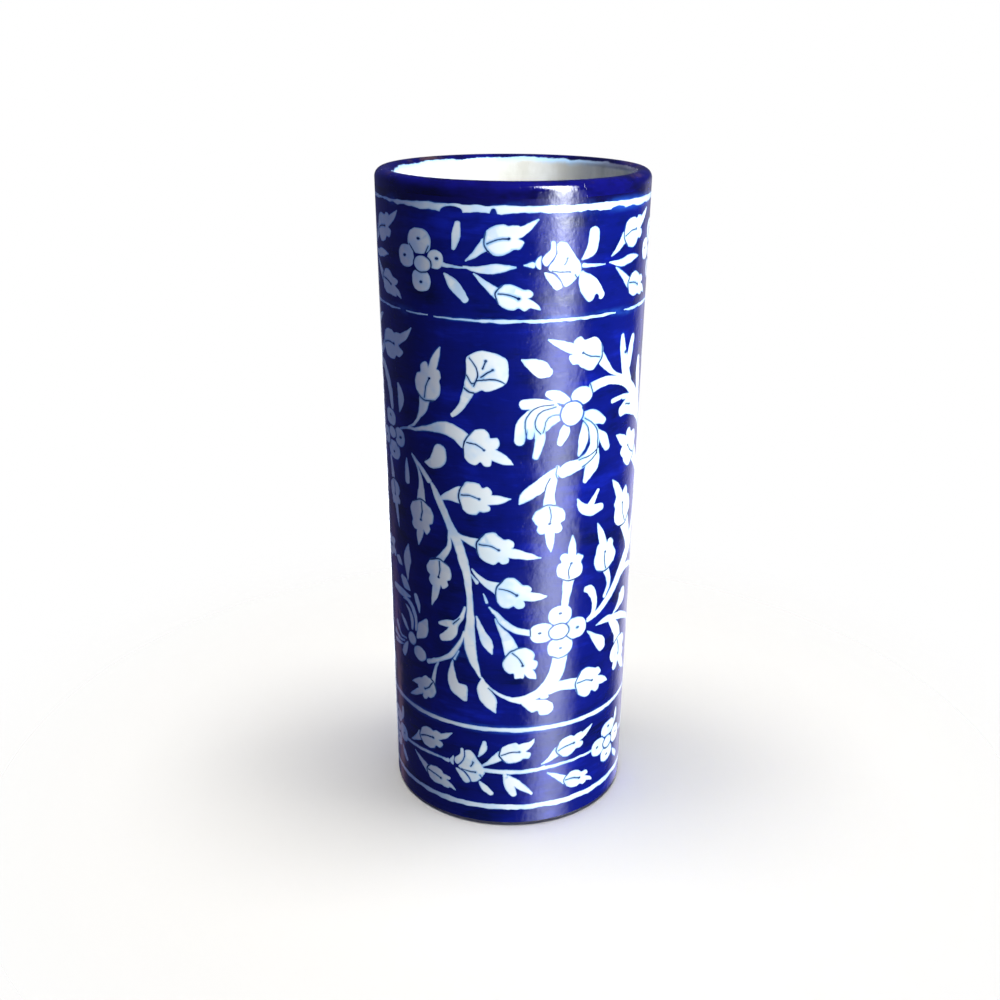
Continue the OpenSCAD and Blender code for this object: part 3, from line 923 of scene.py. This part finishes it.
COBALT = cobalt_glaze("cobalt_glaze", (0.001, 0.004, 0.045, 1), (0.002, 0.006, 0.150, 1),
                      (0.005, 0.014, 0.340, 1))
RIM_COBALT = cobalt_glaze("rim_cobalt", (0.002, 0.002, 0.030, 1), (0.003, 0.003, 0.080, 1),
                          (0.004, 0.005, 0.16, 1), 0.7)
WHITE = white_glaze("white_glaze")
LINES = line_glaze("line_glaze")
MOUTH = mouth_glaze("mouth_glaze")
PASTE = paste("bare_paste", (0.62, 0.55, 0.45, 1), (0.50, 0.42, 0.33, 1))
SLIP = paste("slip", (0.86, 0.84, 0.78, 1), (0.78, 0.75, 0.68, 1))


# ---- the vase

def build_decoration():
    """White pieces for the lines, then ground, flowers and contours for each band between them."""
    draw_all()
    flat, faces = triangulate()
    kind, shade = classify(flat[faces].mean(1))
    faces = weld_seam(flat, faces)
    distance = edge_distance(flat, faces, kind)
    tint = np.zeros(len(flat))
    for corner in range(3):
        np.maximum.at(tint, faces[:, corner], np.where(kind == 1, shade, 0.0))
    height = flat[faces].mean(1)[:, 1]
    in_line = np.zeros(len(faces), int)
    levels = [LINE_ABOVE_FOOT, LINE_BELOW_FIELD, LINE_ABOVE_FIELD, LINE_UNDER_RIM]
    for number, level in enumerate(levels, start=1):
        in_line[(abs(height - level) < LINE_REACH) & (kind == 1)] = number
    band = np.digitize(height, levels)

    def piece(name, chosen, material, slot, *nodes):
        if chosen.any():
            inlay(name, flat, faces[chosen], distance, tint, material, slot, *nodes)

    lines = ("line_above_foot", "line_below_field", "line_above_field", "line_under_rim")
    for number, node in enumerate(lines, start=1):
        piece(node + "_glaze", in_line == number, WHITE, "white_glaze", node)
    bands = (("foot_band", COBALT), ("lower_border", COBALT), ("main_field", COBALT),
             ("upper_border", COBALT), ("rim_band", RIM_COBALT))
    for number, (node, material) in enumerate(bands):
        here = band == number
        replaced = [node] if node != "rim_band" else []
        piece(node + "_ground", here & (kind == 0), material,
              "rim_glaze" if node == "rim_band" else "cobalt_glaze", *replaced)
        piece(node + "_flowers", here & (kind == 1) & (in_line == 0), WHITE, "white_glaze")
        piece(node + "_contours", here & (kind == 2), LINES, "cobalt_glaze")


def arc(centre, radius, start, end, count):
    """Points on an arc of the profile, angles in degrees from the outward direction."""
    return [(centre[0] + radius * math.cos(math.radians(t)), centre[1] + radius * math.sin(math.radians(t)))
            for t in np.linspace(start, end, count)]


def build_lip():
    """Cobalt over the rolled lip, from the drawing's upper edge to the inside of the mouth."""
    clearance, overlap = 0.03, 1  # from the glaze inside the mouth
    centre = (LIP_CREST, TOP - LIP_ROLL)
    inside_r = LIP_CREST - LIP_ROLL + clearance
    low = INSIDE_HIGH[2] - overlap
    outside = [(outer_radius(SHEET_HIGH), SHEET_HIGH), *arc(centre, LIP_ROLL, 0, 180, 21)]
    turn = [(inside_r, low), (inside_r + INLAY, low)]
    back = [*arc(centre, LIP_ROLL - INLAY, 180, 0, 15), (outer_radius(SHEET_HIGH) - INLAY, SHEET_HIGH)]
    revolved("lip", outside + turn + back, MOUTH, "rim_glaze", "rim_glaze")


build_decoration()
build_lip()

for node in ("body_wall", "base_slab", "foot_ring", "rim_coil", "slip_coat", "interior_glaze"):
    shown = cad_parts[node]
    for slot in shown.material_slots:
        slot.material = {"slip_coat": SLIP, "interior_glaze": MOUTH}.get(node, PASTE)


# ---- studio

MIDDLE = Vector((0, 0, 0.13))  # half-way up the vase


def build_floor():
    """Pale paper sheet under the vase that fades into the backdrop."""
    bpy.ops.mesh.primitive_circle_add(vertices=96, radius=3.0, fill_type="NGON")
    floor = bpy.context.object
    floor.name = "floor"
    s = Shader("floor")
    paper = s.mix(s.noise(6, 4), (0.94, 0.935, 0.88, 1), (0.91, 0.905, 0.855, 1))
    s.finish(paper, s.ramp(s.noise(200, 2), 0.3, 0.7, 0.75, 0.9))
    s.bsdf.inputs["Specular IOR Level"].default_value = 0.1
    clear = s.add("BsdfTransparent")
    away = s.ramp(s.length(s.place()), 0.1, 0.28)
    s.surface(s.add("MixShader", {0: away, 1: s.bsdf.outputs[0], 2: clear.outputs[0]}))
    floor.data.materials.append(s.material)
    floor.visible_glossy = floor.visible_diffuse = floor.visible_shadow = False
    return floor


def build_backdrop():
    """White dome that only the camera sees."""
    bpy.ops.mesh.primitive_uv_sphere_add(segments=48, ring_count=24, radius=8.0)
    dome = bpy.context.object
    dome.name = "backdrop"
    s = Shader("backdrop")
    s.surface(s.add("Emission", {"Color": (1, 1, 1, 1), "Strength": 1.0}))
    dome.data.materials.append(s.material)
    dome.visible_glossy = dome.visible_diffuse = False
    dome.visible_shadow = dome.visible_transmission = False


def aim(thing, azimuth, elevation, distance, front):
    """Puts a light or card at a distance from the vase's middle, with its front towards it.

    The azimuth turns from the camera's side towards +X.
    """
    a, e = math.radians(azimuth), math.radians(elevation)
    way = Vector((math.sin(a) * math.cos(e), -math.cos(a) * math.cos(e), math.sin(e)))
    thing.location = MIDDLE + way * distance
    thing.rotation_euler = (-way).to_track_quat(front, "Y").to_euler()


def softbox(name, azimuth, elevation, distance, size, power, colour, lights_floor=False):
    """Area light that lights either everything but the floor or the floor alone."""
    data = bpy.data.lights.new(name, "AREA")
    data.shape, data.size, data.size_y = "RECTANGLE", *size
    data.energy, data.color = power, colour
    light = bpy.data.objects.new(name, data)
    aim(light, azimuth, elevation, distance, "-Z")
    light.visible_glossy = False
    bpy.context.collection.objects.link(light)
    receivers = bpy.data.collections.new(name + "_receivers")
    receivers.objects.link(FLOOR)
    light.light_linking.receiver_collection = receivers
    state = "INCLUDE" if lights_floor else "EXCLUDE"
    receivers.collection_objects[0].light_linking.link_state = state


def glow_card(name, azimuth, elevation, distance, size, strength, colour):
    """Panel with soft edges that only the glaze reflects, like a window across the room."""
    bpy.ops.mesh.primitive_plane_add(size=1)
    card = bpy.context.object
    card.name = name
    card.scale = (*size, 1)
    aim(card, azimuth, elevation, distance, "Z")
    s = Shader(name)
    axes = s.axes()
    falls = [s.ramp(s.math("ABSOLUTE", axes[axis]), 0, 0.5, 1, 0) for axis in ("X", "Y")]
    glow = s.times(*falls)
    light = s.add("Emission", {"Color": colour, "Strength": s.times(glow, strength)})
    clear = s.add("BsdfTransparent")
    s.surface(s.add("AddShader", {0: light.outputs[0], 1: clear.outputs[0]}))
    card.data.materials.append(s.material)
    card.visible_camera = card.visible_diffuse = card.visible_shadow = False


def build_world():
    """Dim surroundings."""
    world = bpy.data.worlds.new("studio")
    bpy.context.scene.world = world
    world.use_nodes = True
    background = world.node_tree.nodes["Background"]
    background.inputs["Color"].default_value = (0.42, 0.44, 0.95, 1)
    background.inputs["Strength"].default_value = 0.12


def build_camera():
    """Stands in front of the vase and looks down on it, with a trace of tilt."""
    back, height = 0.481, 0.3037
    pitch, yaw, roll = math.radians(20.6), math.radians(-0.5), math.radians(0.3)
    forward = Vector((math.sin(yaw) * math.cos(pitch), math.cos(yaw) * math.cos(pitch), -math.sin(pitch)))
    right = Vector((math.cos(yaw), -math.sin(yaw), 0))
    up = right.cross(forward)
    right, up = right * math.cos(roll) + up * math.sin(roll), up * math.cos(roll) - right * math.sin(roll)
    data = bpy.data.cameras.new("camera")
    data.sensor_width = 36.0
    data.lens = 45.46
    data.clip_start = 0.01
    camera = bpy.data.objects.new("camera", data)
    turn = Matrix((right, up, -forward)).transposed()
    camera.matrix_world = Matrix.Translation((0, -back, height)) @ turn.to_4x4()
    bpy.context.collection.objects.link(camera)
    bpy.context.scene.camera = camera


FLOOR = build_floor()
build_backdrop()
build_world()
softbox("key", 48, 30, 1.3, (0.8, 0.8), 40, (0.91, 0.97, 1))
softbox("back", 195, 25, 1.3, (0.8, 0.8), 24, (0.95, 0.97, 1))
softbox("fill", -110, 5, 1.3, (0.8, 0.8), 4, (0.35, 0.5, 1))
softbox("over", 0, 88, 1.3, (0.4, 0.4), 4, (1, 1, 1))
softbox("left", -90, 79, 1.5, (0.5, 0.6), 13.5, (1, 0.985, 0.95), True)
softbox("right", 90, 79, 1.5, (0.5, 0.6), 15, (1, 0.985, 0.95), True)
glow_card("window", 41, 16, 1.6, (0.8, 1.9), 48, (0.88, 0.92, 1, 1))
glow_card("high_window", 41, 42, 1.6, (0.95, 1.3), 70, (0.9, 0.94, 1, 1))
glow_card("curtain", 41, -22, 1.6, (1.5, 2.4), 10, (0.74, 0.8, 1, 1))
glow_card("right_wall", 150, -25, 1.6, (1.6, 2.2), 1.4, (0.84, 0.82, 1, 1))
glow_card("left_wall", -142, -36, 1.6, (0.6, 1.2), 0.4, (0.7, 0.4, 0.36, 1))
glow_card("rear_window", 184, -22, 1.6, (1.1, 0.9), 10, (0.86, 0.9, 1, 1))
build_camera()
bpy.context.scene.view_settings.view_transform = "Standard"
